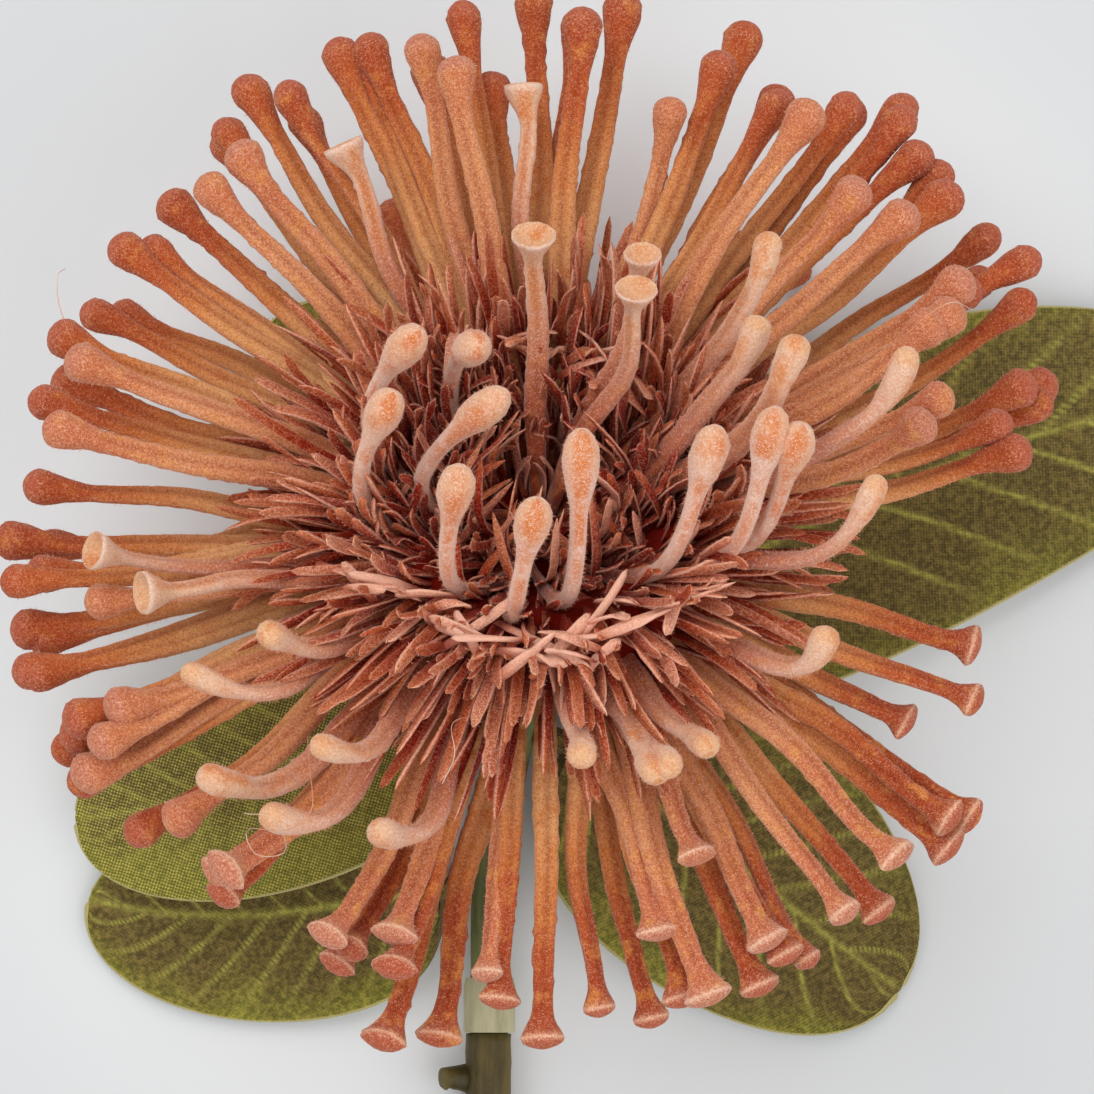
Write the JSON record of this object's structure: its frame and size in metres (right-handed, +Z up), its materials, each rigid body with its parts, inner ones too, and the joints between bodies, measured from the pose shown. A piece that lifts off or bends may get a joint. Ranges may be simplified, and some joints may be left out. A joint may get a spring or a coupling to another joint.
{
  "type": "pincushion protea flower",
  "caption": "Cut pincushion protea lying down: a bloom of long club-tipped styles on a bent neck, with a stem and broad leaves.",
  "frame": {"origin": "centre of the lying flower's outline, on the surface it lies on", "axes": "+Z up, +Y from the cut end of the stem to the bloom, +X to the right as seen from above with the bloom at the top"},
  "size_m": [0.1336, 0.2252, 0.0604],
  "materials": {
    "flocked_terracotta": "velvety flock, terracotta with red-brown ends",
    "flocked_pale": "velvety flock, pale pink with cream clubs",
    "bract": "matt brown scales",
    "green_stem": "satin moulded sage green",
    "pale_collar": "matt beige-green",
    "brown_stem": "satin olive-brown bark",
    "leaf_fabric": "fine woven cloth, olive with yellow-green margins and pale veins"
  },
  "bodies": {
    "root": {"bloom_styles": "flocked_terracotta", "centre_pins": "flocked_pale", "bract_cup": "bract", "upper_stem": "green_stem", "collar": "pale_collar", "lower_stem": "brown_stem", "leaf_right_upper": "leaf_fabric", "leaf_right_lower": "leaf_fabric", "leaf_left_front": "leaf_fabric", "leaf_left_back": "leaf_fabric", "leaf_left_upper": "leaf_fabric"}
  },
  "joints": []
}
